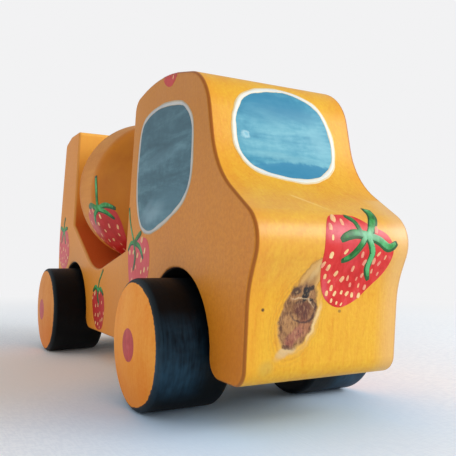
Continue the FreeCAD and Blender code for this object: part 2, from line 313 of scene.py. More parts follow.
def body_material():
    """Yellow-orange stain, darker on the edges, with painted shade and light on the sides and in the drum's
    gap, a painted highlight on the front's left edge, black in the wheel pockets, and the knot.
    """
    mat = Shader("body_stained_wood")
    x, y, z = mat.axes(mat.place)
    base, height = stain(mat, (238, 184, 40), (227, 152, 19), (1, 1, 0.07))
    side = mat.math("ABSOLUTE", y)
    # Stain gathers near the edges, and the rounded edges themselves carry a thin dark line.
    near_edge = mat.fade(side, HALF_WIDTH - 7 * MM, HALF_WIDTH - MM)
    base = mat.tint(base, (234, 146, 24), near_edge, 0.30)
    # Painted shade: the side faces are given a darker, redder, mottled stain.
    side_face = mat.fade(side, HALF_WIDTH - 0.3 * MM, HALF_WIDTH - 0.05 * MM)
    mottle = mat.noise(mat.place, 900, 3, 0.65)
    painted_side_shade = mat.ramp(mottle, (0.36, (204, 113, 16)), (0.64, (218, 131, 26)))
    base = mat.mix(mat.times(side_face, 0.80), base, painted_side_shade)
    # More painted shade on the sides: darker towards the floor, and high on the cab.
    foot = mat.times(side_face, mat.fade(z, 46 * MM, 18 * MM))
    base = mat.tint(base, (210, 106, 4), foot, 0.40)
    painted_brow_shade = mat.times(side_face, mat.fade(z, 52 * MM, 92 * MM), mat.fade(x, -20 * MM, 30 * MM))
    base = mat.tint(base, (180, 112, 2), painted_brow_shade, 0.50)
    # Painted light: the sides are lighter towards the rear, less so above the chassis.
    thin = mat.times(side_face, mat.fade(x, 56 * MM, -25 * MM))
    thin = mat.times(thin, mat.sum(0.52, mat.times(mat.fade(z, 50 * MM, 85 * MM), -0.26)))
    base = mat.tint(base, (245, 158, 45), thin)
    edge = mat.times(mat.fade(side, HALF_WIDTH - 1.2 * MM, HALF_WIDTH - 0.7 * MM),
                     mat.fade(side, HALF_WIDTH - 0.02 * MM, HALF_WIDTH - 0.25 * MM))
    base = mat.tint(base, (160, 76, 6), edge, 0.85)
    # Painted light: lighter and warmer on the faces behind the cab, apart from the sides.
    painted_light_behind = mat.times(mat.fade(x, 20 * MM, -60 * MM), mat.fade(side_face, 1, 0))
    base = mat.tint(base, (255, 182, 84), painted_light_behind, 0.65)
    # Deeper and redder in the drum's gap, fading upwards: partly deeper stain on the end grain, partly
    # painted shade with the walls' reflected orange light.
    gap_x = mat.times(mat.fade(x, GAP_BACK - MM, GAP_BACK + MM), mat.fade(x, GAP_FRONT + MM, GAP_FRONT - MM))
    inside = mat.fade(side, HALF_WIDTH - 0.6 * MM, HALF_WIDTH - 1.4 * MM)
    gap = mat.times(gap_x, inside, mat.fade(z, 30 * MM, 34 * MM), mat.fade(z, 88 * MM, 56 * MM))
    base = mat.tint(base, (206, 72, 14), gap, 0.85)
    base, height = knot(mat, base, height)
    # Painted highlight: the front's left edge is made paler where light glances off it.
    on_front = mat.fade(x, FRONT_START, FRONT_START + MM)
    base = mat.tint(base, (228, 196, 140), mat.fade(y, 16 * MM, 24 * MM), on_front, 0.40)
    base = mat.daub(base, mat.vector(0, y, z), FRONT_MARKS, on_front)
    # The nose is polished by the hands that push the truck.
    crest = mat.times(mat.fade(side, HALF_WIDTH - 0.6 * MM, HALF_WIDTH - 1.6 * MM),
                      mat.fade(x, BODY_HIGH.x - 16 * MM, BODY_HIGH.x - 8 * MM),
                      mat.fade(z, 35 * MM, 45 * MM), mat.fade(z, 70 * MM, 58 * MM))
    # Black paint in the four wheel pockets, brushed right up to their edges.
    slop = mat.jitter(500, 2, 0.5 * MM)
    drop = mat.sum(z, -FRONT_AXLE.z)
    from_front = mat.length(mat.sum(x, -FRONT_AXLE.x), drop)
    from_rear = mat.length(mat.sum(x, -REAR_AXLE.x), drop)
    from_axle = mat.sum(mat.math("MINIMUM", from_front, from_rear), slop)
    pocket = mat.fade(from_axle, POCKET_RADIUS + 0.35 * MM, POCKET_RADIUS + 0.15 * MM)
    base = mat.tint(base, (14, 15, 17), pocket)
    smear = mat.noise(mat.place, 60, 3, 0.6)
    # The gap is left dull: nobody rubs or varnishes it.
    roughness = mat.sum(0.40, mat.times(smear, 0.16), mat.times(pocket, 0.2), mat.times(gap, 0.4))
    polish = mat.sum(0.14, mat.times(crest, 0.50), mat.times(gap, -0.14))
    return mat.finish(base, roughness, height, 0.12 * MM, coat=polish, coat_roughness=0.34, gloss=0.28)


def drum_material():
    """Turned drum: cones deeper than the band, partly stain and partly painted shade, fibres along its axis
    and faint lathe lines round it.
    """
    mat = Shader("drum_stained_wood")
    tilt = math.atan2(-DRUM_AXIS.z, DRUM_AXIS.x)
    level = mat.mapped(mat.place, (1, 1, 1), rotation=(0, -tilt, 0))
    along = mat.axes(level)[0]
    centre_along = DRUM_CENTRE.x * math.cos(tilt) - DRUM_CENTRE.z * math.sin(tilt)
    from_middle = mat.math("ABSOLUTE", mat.sum(along, -centre_along))
    band, height = stain(mat, (224, 148, 58), (208, 126, 36), (0.08, 1, 1), seed=3.1)
    # The cones are deeper than the band: partly deeper stain on the end grain, partly painted shade.
    cone = mat.ramp(mat.noise(mat.place, 60, 4, 0.6), (0.35, (199, 110, 0)), (0.65, (217, 130, 4)))
    on_cone = mat.fade(mat.sum(from_middle, mat.jitter(150, 3, MM)), 6.5 * MM, 11.5 * MM)
    base = mat.mix(mat.times(on_cone, 0.9), band, cone)
    # Painted shade: the cone facing the cab is darker, in the cab's shadow.
    ahead = mat.fade(mat.sum(along, -centre_along), 9 * MM, 20 * MM)
    base = mat.tint(base, (162, 88, 2), ahead, 0.40)
    lathe = mat.noise(mat.vector(mat.times(along, 900), 0, 0), 1, 2)
    height = mat.sum(height, mat.times(lathe, 0.35))
    return mat.finish(base, 0.5, height, 0.045 * MM, gloss=0.15)


# Scales of the streaks on a tread: low round the wheel, and high across it, per metre.
ROUND_SCALE = 3.2
ACROSS_SCALE = 1300


def wheel_material(name, centre, blue_sheen_at, light, deep):
    """Black painted tread over turned wood, and an orange stained outer face with a hand-cut edge.

    A painted bluish reflection lies on the black round the angle given for it, in degrees ahead and up from
    the axle.
    """
    mat = Shader(name + "_paint")
    x, y, z = mat.axes(mat.place)
    forward = mat.sum(x, -centre.x)
    upward = mat.sum(z, -centre.z)
    off_middle = mat.math("ABSOLUTE", y)
    # The angle round the axle enters as its sine and cosine, so that nothing shows a seam.
    angle = mat.math("ARCTAN2", upward, forward)
    ring = mat.vector(mat.times(mat.math("COSINE", angle), ROUND_SCALE), mat.times(y, ACROSS_SCALE),
                      mat.times(mat.math("SINE", angle), ROUND_SCALE))
    ahead, _, above = mat.axes(ring)
    streak = mat.noise(ring, 1, 3, 0.6)
    worn = mat.noise(mat.place, 110, 3, 0.6)
    grain = mat.sum(mat.times(streak, 0.4), mat.times(worn, 0.6))
    black = mat.ramp(grain, (0.38, (3, 4, 5)), (0.66, (10, 14, 17)))
    # A painted bluish reflection on the black, strongest round the given angle.
    thin = mat.ramp(grain, (0.36, (10, 26, 36)), (0.62, (40, 70, 88)))
    turned = mat.sum(mat.times(ahead, math.cos(math.radians(blue_sheen_at)) / ROUND_SCALE),
                     mat.times(above, math.sin(math.radians(blue_sheen_at)) / ROUND_SCALE))
    outward = mat.fade(off_middle, 22 * MM, 30 * MM)
    black = mat.mix(mat.times(mat.fade(turned, 0.70, 1), outward), black, thin)
    wood, wood_height = stain(mat, light, deep, (1, 1, 0.1), seed=centre.x * 40 + 7 * centre.y)
    # The face's painted edge is a little off centre, and wanders with the brush.
    out = mat.sum(mat.length(mat.sum(forward, FACE_SHIFT), upward),
                  mat.jitter(90, 2, 1.5 * MM), mat.jitter(760, 2, MM))
    face = mat.times(mat.fade(out, FACE_RADIUS + 0.08 * MM, FACE_RADIUS - 0.08 * MM),
                     mat.fade(off_middle, RIM_PLANE - 1.2 * MM, RIM_PLANE - 0.8 * MM))
    # Painted shade: the face is a deeper orange below the axle.
    low = mat.fade(z, centre.z + 2 * MM, centre.z - 16 * MM)
    wood = mat.tint(wood, (232, 116, 14), low, 0.40)
    # A painted highlight lies along the tread's outer edge.
    rim_highlight = mat.fade(off_middle, RIM_PLANE - 1.8 * MM, RIM_PLANE - 0.8 * MM)
    black = mat.tint(black, (58, 74, 82), rim_highlight, 0.22)
    base = mat.mix(face, black, wood)
    roughness = mat.sum(0.40, mat.times(streak, 0.2), mat.times(face, 0.05))
    height = mat.sum(mat.times(streak, 0.8), mat.times(wood_height, 0.4))
    return mat.finish(base, roughness, height, 0.05 * MM, gloss=0.14)


def axle_material(name):
    """Plain dowel, its two ends painted brick red by hand."""
    mat = Shader(name + "_dowel")
    y = mat.axes(mat.place)[1]
    wood, height = stain(mat, (214, 170, 108), (190, 138, 76), (1, 0.1, 1), seed=5)
    brushed = mat.noise(mat.mapped(mat.place, (1, 1, 0.3)), 700, 3, 0.6)
    red = mat.ramp(brushed, (0.35, (182, 48, 50)), (0.65, (206, 74, 74)))
    end = mat.fade(mat.math("ABSOLUTE", y), RIM_PLANE - MM, RIM_PLANE - 0.6 * MM)
    base = mat.mix(end, wood, red)
    return mat.finish(base, 0.45, mat.sum(height, brushed), 0.03 * MM, gloss=0.3)


def spindle_material():
    """The drum's dowel, stained with the body, with growth rings on its sanded end."""
    mat = Shader("spindle_dowel")
    x, y, z = mat.axes(mat.place)
    base, height = stain(mat, (222, 160, 72), (198, 128, 46), (0.08, 1, 1), seed=9)
    tail = mat.fade(x, BODY_LOW.x + 14 * MM, BODY_LOW.x + 12 * MM)
    centre_z = middle("drum_spindle").z + 12 * MM
    rings = mat.math("SINE", mat.times(mat.length(y, mat.sum(z, -centre_z)), 6200))
    ring_tone = mat.sum(0.5, mat.times(rings, 0.5))
    end_grain = mat.ramp(ring_tone, (0.2, (212, 132, 38)), (0.8, (178, 98, 20)))
    base = mat.mix(tail, base, end_grain)
    return mat.finish(base, 0.45, height, 0.03 * MM, coat=0.08, coat_roughness=0.3)


def paint_material(name, stops, seed, stroke=(1, 1, 1), depth=0.06, marks=()):
    """Brushed acrylic: colours that follow long strokes, with the bristles' ridges in the surface.

    stroke is the scale along each axis, small along the brush. marks are blots of other colours.
    """
    mat = Shader(name)
    brush = mat.mapped(mat.place, stroke, location=(seed, seed * 0.7, seed * 1.3))
    wide = mat.noise(brush, 95, 2, 0.5, 0.8)
    bristle = mat.noise(brush, 620, 3, 0.6)
    pooled = mat.noise(mat.place, 120, 2, 0.5)
    tone = mat.sum(mat.times(wide, 0.45), mat.times(bristle, 0.30), mat.times(pooled, 0.25))
    base = mat.ramp(tone, *stops)
    _, y, z = mat.axes(mat.place)
    for centre, radii, turn, soft, strength, shade in marks:
        mask = mat.blot(mat.vector(0, y, z), centre, radii, turn, soft)
        base = mat.tint(base, shade, mask, mat.sum(strength, mat.times(bristle, 0.4), -0.2))
    height = mat.sum(mat.times(bristle, 0.6), mat.times(wide, 0.4))
    return mat.finish(base, 0.42, height, depth * MM, coat=0.05, coat_roughness=0.25, gloss=0.35)


# Layers of paint laid over the wood

def smooth_path(points, closed=False, steps=8):
    """Catmull-Rom curve through points, as an array."""
    points = np.array(points, float)
    count = len(points)
    spans = count if closed else count - 1
    result = []
    for i in range(spans):
        if closed:
            before, here, there, after = (points[(i + k) % count] for k in (-1, 0, 1, 2))
        else:
            before = points[max(i - 1, 0)]
            here, there = points[i], points[i + 1]
            after = points[min(i + 2, count - 1)]
        for step in range(steps):
            t = step / steps
            result.append(0.5 * (2 * here + (there - before) * t
                                 + (2 * before - 5 * here + 4 * there - after) * t ** 2
                                 + (3 * here - before - 3 * there + after) * t ** 3))
    if not closed:
        result.append(points[-1])
    return np.array(result)


class Side:
    """A way of looking at one node, from which paint is laid on it along straight lines.

    u and v are millimetres from origin along right and up.
    """

    STAND_OFF = 0.25        # metres from origin that each line starts

    def __init__(self, node, origin, right, up, toward):
        mesh = frame["nodes"][node].data
        self.tree = BVHTree.FromPolygons([v.co for v in mesh.vertices],
                                         [p.vertices for p in mesh.polygons])
        self.origin = Vector(origin)
        self.right = Vector(right)
        self.up = Vector(up)
        self.toward = Vector(toward).normalized()
        self.flip = self.right.cross(self.up).dot(self.toward) > 0

    def touch(self, u, v):
        start = self.origin + self.right * (u * MM) + self.up * (v * MM) - self.toward * self.STAND_OFF
        place, normal, _, _ = self.tree.ray_cast(start, self.toward)
        if place is None:
            raise ValueError("paint at %.1f, %.1f misses the wood" % (u, v))
        return place, normal


class Paint:
    """Thin closed shells of paint on one side, gathered into one piece."""

    BURIED = 0.06       # millimetres that each shell's back lies under the wood's surface
    SOFT_EDGE = 0.6     # millimetres over which a patch comes up to its full thickness
    # Places across a stroke, as shares of its width, and its thickness there.
    LANES = ((-0.5, 0.4), (-0.43, 0.9), (-0.2, 1), (0.2, 1), (0.43, 0.9), (0.5, 0.4))

    def __init__(self, side):
        self.side = side
        self.points = []
        self.faces = []

    def shell(self, flat, heights, faces, rim):
        """Adds a shell: its front at the heights over the wood, its back just under, joined round rim."""
        base = len(self.points)
        count = len(flat)
        fronts = []
        backs = []
        for (u, v), height in zip(flat, heights):
            place, normal = self.side.touch(u, v)
            fronts.append(place + normal * (height * MM))
            backs.append(place - normal * (self.BURIED * MM))
        self.points += fronts + backs
        turned = self.side.flip
        for face in faces:
            front = [base + i for i in face]
            back = [base + count + i for i in reversed(face)]
            self.faces += [front[::-1], back[::-1]] if turned else [front, back]
        for a, b in rim:
            wall = [base + a, base + count + a, base + count + b, base + b]
            self.faces.append(wall[::-1] if turned else wall)

    def patch(self, outline, thickness, spacing=0.9):
        """A filled shape, with points about spacing apart inside its edge."""
        edge = np.array(outline, float)
        if signed_area(edge) < 0:
            edge = edge[::-1]
        count = len(edge)
        low, high = edge.min(0), edge.max(0)
        inner = []
        for i, u in enumerate(np.arange(low[0], high[0], spacing)):
            shift = spacing / 2 if i % 2 else 0
            for v in np.arange(low[1] + shift, high[1], spacing):
                if within(edge, u, v) and nearest(edge, (u, v)) > spacing * 0.6:
                    inner.append((u, v))
        coords = [Vector(p) for p in edge.tolist() + inner]
        loop = [(i, (i + 1) % count) for i in range(count)]
        made = geometry.delaunay_2d_cdt(coords, loop, [list(range(count))], 1, 1e-5)
        flat = [tuple(p) for p in made[0]]
        faces = [list(face) for face in made[2]]
        heights = []
        for point in flat:
            inside = nearest(edge, point) / self.SOFT_EDGE
            heights.append(thickness * (0.5 + 0.5 * min(1, inside) ** 0.6))
        self.shell(flat, heights, faces, border(faces))

    def stroke(self, path, widths, thickness, closed=False):
        """A brush stroke along a path. widths are full widths, one for each point of the path."""
        path = np.array(path, float)
        flat = []
        heights = []
        for point, side, width in zip(path, leftward(path, closed), widths):
            for lane, rise in self.LANES:
                flat.append(tuple(point + side * (lane * width)))
                heights.append(thickness * rise)
        rows = len(path)
        lanes = len(self.LANES)
        faces = []
        for row in range(rows if closed else rows - 1):
            here = row * lanes
            after = (row + 1) % rows * lanes
            for lane in range(lanes - 1):
                faces.append([here + lane + 1, after + lane + 1, after + lane, here + lane])
        self.shell(flat, heights, faces, border(faces))

    def finish(self, name, material, slot, body):
        mesh = bpy.data.meshes.new(name)
        mesh.from_pydata([tuple(p) for p in self.points], [], self.faces)
        mesh.validate()
        mesh.polygons.foreach_set("use_smooth", [True] * len(mesh.polygons))
        mesh.set_sharp_from_angle(angle=math.radians(35))
        piece = bpy.data.objects.new(name, mesh)
        bpy.context.scene.collection.objects.link(piece)
        mesh.materials.append(material)
        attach(piece, body)


def signed_area(edge):
    """Area of a closed outline, below zero where it runs clockwise."""
    return 0.5 * np.sum(edge[:, 0] * np.roll(edge[:, 1], -1) - np.roll(edge[:, 0], -1) * edge[:, 1])


def nearest(points, spot):
    """Distance from a spot to the nearest of some points."""
    return np.hypot(*(points - spot).T).min()


def leftward(path, closed=True):
    """The unit vector to the left of a path at each of its points."""
    ahead = np.roll(path, -1, 0) - np.roll(path, 1, 0)
    if not closed:
        ahead[0] = path[1] - path[0]
        ahead[-1] = path[-1] - path[-2]
    ahead /= np.maximum(np.hypot(*ahead.T), 1e-9)[:, None]
    return np.stack([-ahead[:, 1], ahead[:, 0]], 1)


def inset(edge, distance):
    """A closed outline moved inwards."""
    inward = leftward(edge) * math.copysign(1, signed_area(edge))
    return edge + inward * distance


def within(edge, u, v):
    """Whether a point lies inside a closed outline."""
    after = np.roll(edge, -1, 0)
    crosses = (edge[:, 1] > v) != (after[:, 1] > v)
    rise = np.where(crosses, after[:, 1] - edge[:, 1], 1)
    reach = edge[:, 0] + (v - edge[:, 1]) / rise * (after[:, 0] - edge[:, 0])
    return np.count_nonzero(crosses & (u < reach)) % 2 == 1


def border(faces):
    """The directed edges that only one face has."""
    edges = set()
    for face in faces:
        edges.update(zip(face, face[1:] + face[:1]))
    return [(a, b) for a, b in edges if (b, a) not in edges]


def window_material(name, axis, stops, marks):
    """Watery blue with slanting brush strokes. axis is the way the pane runs across; marks are blots."""
    mat = Shader(name)
    parts = mat.axes(mat.place)
    slant = mat.mapped(mat.vector(0, parts[axis], parts[2]), (1, 0.20, 1), rotation=(math.radians(-8), 0, 0))
    wide = mat.noise(slant, 190, 3, 0.55, 1)
    bristle = mat.noise(slant, 900, 3, 0.65)
    pooled = mat.noise(mat.place, 90, 2, 0.5)
    dabbed = mat.noise(mat.place, 420, 3, 0.6)
    tone = mat.sum(mat.times(wide, 0.50), mat.times(bristle, 0.18), mat.times(pooled, 0.16),
                   mat.times(dabbed, 0.16))
    base = mat.ramp(tone, *stops)
    smudge = mat.times(mat.math("SUBTRACT", dabbed, 0.5), 3 * MM)
    across = parts[axis] if axis else mat.sum(parts[0], -FRONT_AXLE.x)
    flat = mat.vector(0, mat.sum(across, smudge), mat.sum(parts[2], mat.times(smudge, 0.7)))
    base = mat.daub(base, flat, marks)
    height = mat.sum(mat.times(bristle, 0.5), mat.times(wide, 0.5))
    return mat.finish(base, 0.45, height, 0.06 * MM, gloss=0.25)


WINDSCREEN_BLUE = window_material(
    "windscreen_blue", 1,
    ((0.38, (52, 134, 164)), (0.50, (84, 158, 182)), (0.62, (116, 182, 198))),
    [((-3, 94), (12.5, 4.2), -8, 0.50, 0.80, (52, 130, 164)),
     ((-8, 89.5), (8, 2.4), -8, 0.60, 0.50, (62, 138, 168)),
     ((6, 92), (5, 2.6), -20, 0.60, 0.45, (62, 138, 168)),
     ((0, 66.2), (30, 8.6), 2, 0.05, 0.80, (52, 132, 168)),
     ((-1.5, 76.6), (11, 1.2), -3, 0.60, 0.35, (150, 204, 210)),
     ((12.3, 82), (3.2, 6), 20, 0.60, 0.35, (138, 196, 208)),
     ((-14.4, 82.6), (1.5, 1.3), 0, 0.30, 0.60, (186, 224, 230)),
     ((-14.3, 82.7), (0.8, 0.6), 0, 0.40, 0.70, (112, 182, 204))])
# Painted shade: the side windows' blue is darker and greyer than the windscreen's.
SIDE_BLUE = window_material(
    "side_window_blue", 0,
    ((0.38, (50, 90, 104)), (0.50, (66, 108, 122)), (0.64, (96, 138, 150))),
    [((-14, 60), (20, 7.5), 14, 0.60, 0.40, (96, 140, 156)),
     ((-21.5, 61.2), (8.5, 2.4), 12, 0.80, 0.50, (148, 180, 192)),
     ((-26.5, 63.4), (5.5, 1.3), 26, 0.80, 0.35, (136, 170, 184)),
     ((-14, 91.5), (24, 8), 2, 0.60, 0.45, (46, 86, 100)),
     ((-16, 79.5), (17, 2.2), 4, 0.90, 0.30, (104, 142, 156))])
# The side outlines are darker and greyer than the front's: partly thinner paint, partly painted shade.
SIDE_OUTLINE_CREAM = paint_material(
    "side_outline_thin", ((0.35, (176, 158, 128)), (0.6, (192, 178, 152))), seed=34, depth=0.04)
SIDE_OUTLINE_WHITE = paint_material(
    "side_outline_white", ((0.32, (174, 178, 184)), (0.5, (194, 192, 190)), (0.7, (212, 206, 192))),
    seed=24, depth=0.05)
OUTLINE_CREAM = paint_material(
    "outline_thin_cream", ((0.35, (222, 196, 144)), (0.6, (234, 216, 176))), seed=14, depth=0.04)
OUTLINE_WHITE = paint_material(
    "outline_white", ((0.32, (214, 222, 224)), (0.5, (232, 232, 224)), (0.7, (240, 232, 214))),
    seed=4, depth=0.05)
# The pink marks on the red are painted highlights.
FRONT_RED = paint_material(
    "berry_red",
    ((0.38, (188, 10, 10)), (0.48, (210, 26, 22)), (0.56, (220, 46, 44)), (0.68, (234, 110, 112))),
    seed=6, stroke=(1, 1, 0.45), depth=0.07,
    marks=[((0.6, 54), (4.6, 2.2), 10, 0.9, 0.34, (236, 140, 160)),
           ((15.2, 54.4), (3.4, 1.8), -20, 0.9, 0.34, (236, 140, 158)),
           ((4.5, 50), (3, 5), 20, 0.9, 0.28, (228, 84, 104)),
           ((-1.6, 37.8), (0.8, 2.6), 15, 0.8, 0.40, (232, 116, 134))])
BERRY_PINK = paint_material(
    "berry_pink", ((0.34, (210, 50, 52)), (0.52, (220, 72, 78)), (0.72, (230, 108, 116))),
    seed=16, stroke=(1, 1, 0.35), depth=0.07)
BERRY_DEEP = paint_material(
    "berry_deep", ((0.34, (178, 18, 14)), (0.52, (200, 34, 30)), (0.72, (214, 66, 66))),
    seed=26, stroke=(1, 1, 0.35), depth=0.07)
LEAF_DARK = paint_material(
    "leaf_dark", ((0.34, (8, 50, 18)), (0.50, (18, 84, 34)), (0.68, (40, 116, 58))),
    seed=8, stroke=(1, 1, 0.6))
LEAF_LIGHT = paint_material(
    "leaf_light", ((0.42, (8, 88, 22)), (0.50, (30, 138, 52)), (0.59, (86, 182, 112))),
    seed=18, stroke=(1, 1, 0.6), depth=0.08, marks=[((10.6, 52.8), (5, 1.6), 0, 0.8, 0.50, (150, 212, 176))])
SEED_CREAM = paint_material(
    "seed_cream", ((0.40, (232, 142, 120)), (0.50, (240, 190, 130)), (0.62, (250, 222, 160))),
    seed=11, depth=0.04)

# Thickness of each coat of paint, in millimetres. An outline is cream with white over it.
PANE_COAT = 0.07
OUTLINE_COATS = (0.09, 0.12)
FRUIT_COAT = 0.09
LEAF_COAT = 0.12
LIGHT_COAT = 0.14
SEED_COAT = 0.13


def window(name, side, outline, rim, blue, thin, white):
    """A blue pane under a brushed outline, thin cream below and white over it. rim is its width."""
    edge = smooth_path(outline, closed=True, steps=14)
    pane = Paint(side)
    pane.patch(inset(edge, rim * 0.5), PANE_COAT, spacing=1.2)
    pane.finish(name + "_pane", blue, "window_paint", "truck")
    path = inset(edge, rim / 2)
    steps = np.arange(len(path))
    waver = 1 + 0.12 * np.sin(steps * 0.26) + 0.07 * np.sin(steps * 0.61 + 1)
    lines = (("_outline_thin", thin, 1, 0), ("_outline", white, 0.62, 0.12))
    for (suffix, material, share, shift), thickness in zip(lines, OUTLINE_COATS):
        line = Paint(side)
        line.stroke(inset(path, shift), rim * share * waver, thickness, closed=True)
        line.finish(name + suffix, material, "outline_paint", "truck")


def tapered(count, width, start, end):
    """Widths for a brush stroke: full in the middle, and a share of that at its two ends."""
    t = np.linspace(0, 1, count)
    swell = np.sin(np.pi * np.clip(t * 0.9 + 0.08, 0, 1)) ** 0.6
    ends = start * (1 - t) + end * t
    return width * (ends + (1 - ends) * swell)


def seed_spots(edge, spacing, number):
    """Spots scattered inside an outline, none near another, and closer together towards its foot."""
    chance = random.Random(number)
    low, high = edge.min(0), edge.max(0)
    spots = []
    for _ in range(900):
        u = chance.uniform(low[0], high[0])
        v = chance.uniform(low[1], high[1])
        grow = 0.8 + 0.5 * (v - low[1]) / (high[1] - low[1])
        apart = all(math.hypot(u - a, (v - b) * 0.8) > spacing * grow for a, b, _ in spots)
        if apart and within(edge, u, v):
            spots.append((u, v, grow))
    return spots


def strawberry(name, side, body, red, shape, seeds):
    """A painted strawberry: fruit, leaves and stem in dark and light green, and cream seeds.

    shape is an outline and the leaves' (points, width) strokes, stem first; seeds are their
    spacing, length and random number.
    """
    outline, leaves = shape
    edge = smooth_path(outline, closed=True)
    fruit = Paint(side)
    fruit.patch(edge, FRUIT_COAT)
    fruit.finish(name + "_fruit", red, "berry_paint", body)
    dark = Paint(side)
    light = Paint(side)
    blades = []
    for number, (points, width) in enumerate(leaves):
        # The stem stays broad to its cut end.
        tip = 1 if number == 0 else 0.35
        path = smooth_path(points, steps=6)
        blades.append(path)
        dark.stroke(path, tapered(len(path), width, 0.9, tip), LEAF_COAT)
        inner = path[:-2] + np.array((0.04, 0.15)) * width
        light.stroke(inner, tapered(len(inner), width * 0.72, 1, tip), LIGHT_COAT)
    dark.finish(name + "_leaves", LEAF_DARK, "leaf_paint", body)
    light.finish(name + "_leaf_lights", LEAF_LIGHT, "leaf_paint", body)
    spacing, length, start = seeds
    chance = random.Random(start + 100)
    covered = np.concatenate(blades)
    dabs = Paint(side)
    for u, v, grow in seed_spots(edge, spacing, start):
        spot = np.array((u, v))
        clear = nearest(edge, spot) > length * 0.35
        bare = nearest(covered, spot) > length * 0.75
        lean = chance.uniform(-0.15, 0.75)
        long = length * grow * chance.uniform(0.75, 1.2)
        if clear and bare:
            tip = np.array((math.sin(lean), math.cos(lean))) * long / 2
            path = np.linspace(spot - tip, spot + tip, 6)
            dabs.stroke(path, tapered(6, long * chance.uniform(0.5, 0.85), 0.5, 0.3), SEED_COAT)
    dabs.finish(name + "_seeds", SEED_CREAM, "seed_paint", body)


# Where the paint goes

AHEAD = Vector((FRONT_AXLE.x, 0, 0))
RIGHT_SIDE = Side("body", AHEAD, (1, 0, 0), (0, 0, 1), (0, 1, 0))
LEFT_SIDE = Side("body", AHEAD, (1, 0, 0), (0, 0, 1), (0, -1, 0))
FRONT = Side("body", (0, 0, 0), (0, 1, 0), (0, 0, 1), (-1, 0, 0))
# Seen along the diagonal, so that paint runs over the roof's edge on to the side.
DIAGONAL = math.sqrt(0.5)
ROOF_EDGE = Side("body", AHEAD + Vector((0, -HALF_WIDTH, 104.5 * MM)), (1, 0, 0), (0, DIAGONAL, DIAGONAL),
                 (0, 1, -1))

WINDSCREEN = [(-18.8, 85), (-18.4, 77.5), (-14.5, 71.5), (-6, 68.9), (3, 68.3), (10.5, 70.3), (16.5, 75),
              (18.5, 82), (16.8, 90), (12.5, 96.3), (3.5, 99.9), (-7, 98.8), (-14.5, 95.3), (-17.8, 90)]
SIDE_WINDOW = [(-1, 96.6), (-14, 98.2), (-26, 97.1), (-32.5, 93.5), (-35.8, 84), (-37.4, 72), (-36.2, 63),
               (-32, 56.4), (-24, 54.2), (-14, 56.2), (-4, 59.4), (5, 63.6), (10.3, 70), (11.8, 80),
               (11.2, 88.5), (6, 94.2)]

FRONT_BERRY = (
    [(0, 58.3), (7, 58.2), (12, 55.8), (17.5, 53.2), (19.7, 48.5), (18.2, 43), (13, 38), (8.8, 34.8),
     (3.5, 33.2), (-1, 35.4), (-3.4, 40), (-4.6, 46), (-4.4, 52.5), (-2.8, 56.6)],
    [([(10.2, 52.2), (12.4, 55.4), (14.3, 58.2), (14.9, 60.7)], 2.9),
     ([(8.4, 52.6), (7.4, 54.8), (6.4, 56.8), (4, 58.2)], 1.8),
     ([(9.6, 52.8), (5.9, 53.2), (3, 52.6), (0.6, 51.4)], 2.8),
     ([(9.2, 52.2), (6.8, 49.2), (4.3, 47), (1.6, 45.9)], 2.3),
     ([(10.2, 52.4), (11.9, 48.2), (11.4, 44), (12.9, 40.6)], 2.5),
     ([(9.4, 52.8), (13.8, 51.6), (17.6, 49.6), (20.7, 51.1)], 2.8)])
WINDOW_BERRY = (
    [(-45.2, 48.8), (-41, 52.2), (-34, 53.2), (-27, 53), (-23.8, 50), (-23.3, 44.5), (-25, 38),
     (-29, 31.5), (-34, 27), (-38.5, 27.5), (-42.5, 33), (-44.8, 40)],
    [([(-38.7, 51.2), (-41.5, 55.5), (-43.6, 60), (-44.8, 65)], 1.2),
     ([(-38.7, 51.4), (-42.5, 51.2), (-45.4, 48.6)], 1.9),
     ([(-38.7, 51.4), (-35, 53.6), (-31.4, 55.4)], 2.3),
     ([(-38.4, 51.4), (-33, 49.8), (-29.2, 45.6)], 2.3),
     ([(-38.9, 51.4), (-37.6, 46), (-39.6, 41.2)], 2)])
LOW_BERRY = (
    [(-93, 28.5), (-92.4, 23), (-90, 18), (-86.5, 15), (-82.5, 14.4), (-78.2, 15.6), (-75.8, 20), (-75, 25),
     (-76.5, 29.5), (-82, 31.5), (-88, 31)],
    [([(-84.4, 31), (-83, 35), (-80.6, 37.5), (-77.2, 40.6)], 1.2),
     ([(-84.4, 31), (-88, 32.6), (-92.2, 30.6)], 2.2),
     ([(-84.2, 31), (-80.5, 32), (-76.6, 29.6)], 2),
     ([(-84.4, 31.2), (-84.6, 28), (-82.4, 25.2)], 2.2)])
POST_BERRY = (
    [(-157.5, 59), (-152, 60.6), (-145, 60), (-140.5, 57), (-138, 51), (-138.6, 45.5), (-142.5, 41),
     (-148.5, 39.2), (-155, 40.6), (-159, 44.5), (-160, 50), (-159.6, 55)],
    [([(-149.5, 59), (-149.6, 63), (-147.5, 66.6)], 1.8),
     ([(-149.5, 59), (-153.5, 60.4), (-157.4, 61.8)], 2.4),
     ([(-149.5, 59), (-146, 60.6), (-142.2, 60.6)], 2.2),
     ([(-149.7, 59), (-152.8, 56.6), (-154.8, 53)], 2),
     ([(-149.3, 59), (-147.4, 56), (-146, 52.4)], 2)])
ROOF_BERRY = (
    [(-12.5, 10.2), (-6, 11.4), (0.5, 10.4), (3.2, 6.6), (1.6, 2), (-2, -1), (-6, -2), (-10.4, -0.4),
     (-13.4, 3.6), (-14, 7.4)],
    [([(-6, 11), (-5.2, 13.5), (-3.4, 16)], 1.6),
     ([(-6, 11), (-9, 12.2), (-12.4, 11.2)], 1.8),
     ([(-6, 11), (-2.6, 12), (0.6, 11)], 1.8),
     ([(-6, 11), (-7.4, 8.6), (-9, 6.6)], 1.7),
     ([(-6, 11), (-4.4, 8.4), (-3.2, 6.8)], 1.6)])
